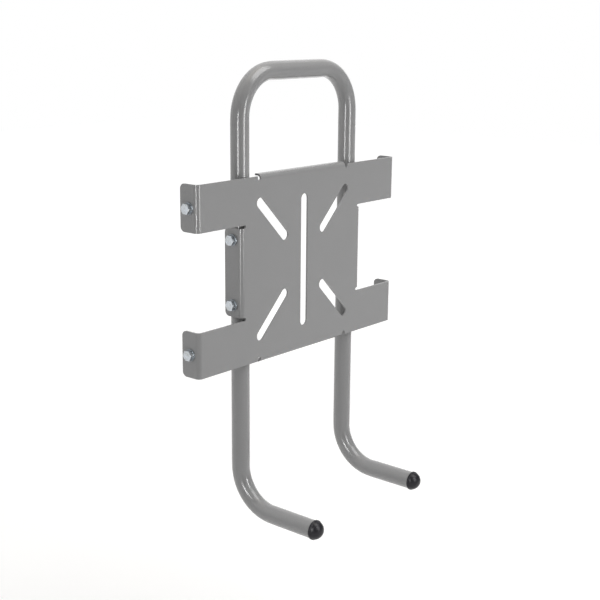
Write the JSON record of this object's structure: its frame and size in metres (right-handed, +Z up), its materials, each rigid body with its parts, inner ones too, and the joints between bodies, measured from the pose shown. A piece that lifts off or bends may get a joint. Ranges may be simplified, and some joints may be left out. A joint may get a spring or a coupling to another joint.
{
  "type": "spare wheel bike rack frame",
  "caption": "Bent tube frame with a folded slotted plate that bolts onto a vehicle's spare wheel studs, and plugged bottom arms that carry a bike rack.",
  "frame": {"origin": "the wheel's axis on the front face of the plate, at the middle of its upright slot", "axes": "+X to the right as seen from behind the vehicle, +Y forward from the plate towards the spare wheel, +Z up"},
  "size_m": [0.4298, 0.1587, 0.6175],
  "materials": {
    "coated_steel": "satin grey powder coat",
    "zinc_plate": "bright zinc plate",
    "nut_zinc": "bright zinc plate",
    "plug_plastic": "moulded, slight sheen"
  },
  "bodies": {
    "root": {"tube_frame": "coated_steel", "mounting_plate": "coated_steel", "end_plug_left": "plug_plastic", "end_plug_right": "plug_plastic", "arm_bolt_upper_left": "zinc_plate", "arm_bolt_upper_right": "zinc_plate", "arm_bolt_lower_left": "zinc_plate", "arm_bolt_lower_right": "zinc_plate", "arm_washer_upper_left": "zinc_plate", "arm_washer_upper_right": "zinc_plate", "arm_washer_lower_left": "zinc_plate", "arm_washer_lower_right": "zinc_plate", "arm_inner_washer_upper_left": "zinc_plate", "arm_inner_washer_upper_right": "zinc_plate", "arm_inner_washer_lower_left": "zinc_plate", "arm_inner_washer_lower_right": "zinc_plate", "arm_nut_upper_left": "nut_zinc", "arm_nut_upper_right": "nut_zinc", "arm_nut_lower_left": "nut_zinc", "arm_nut_lower_right": "nut_zinc", "frame_bolt_upper_left": "zinc_plate", "frame_bolt_upper_right": "zinc_plate", "frame_bolt_lower_left": "zinc_plate", "frame_bolt_lower_right": "zinc_plate", "frame_washer_upper_left": "zinc_plate", "frame_washer_upper_right": "zinc_plate", "frame_washer_lower_left": "zinc_plate", "frame_washer_lower_right": "zinc_plate", "frame_inner_washer_upper_left": "zinc_plate", "frame_inner_washer_upper_right": "zinc_plate", "frame_inner_washer_lower_left": "zinc_plate", "frame_inner_washer_lower_right": "zinc_plate", "frame_nut_upper_left": "nut_zinc", "frame_nut_upper_right": "nut_zinc", "frame_nut_lower_left": "nut_zinc", "frame_nut_lower_right": "nut_zinc"}
  },
  "joints": []
}
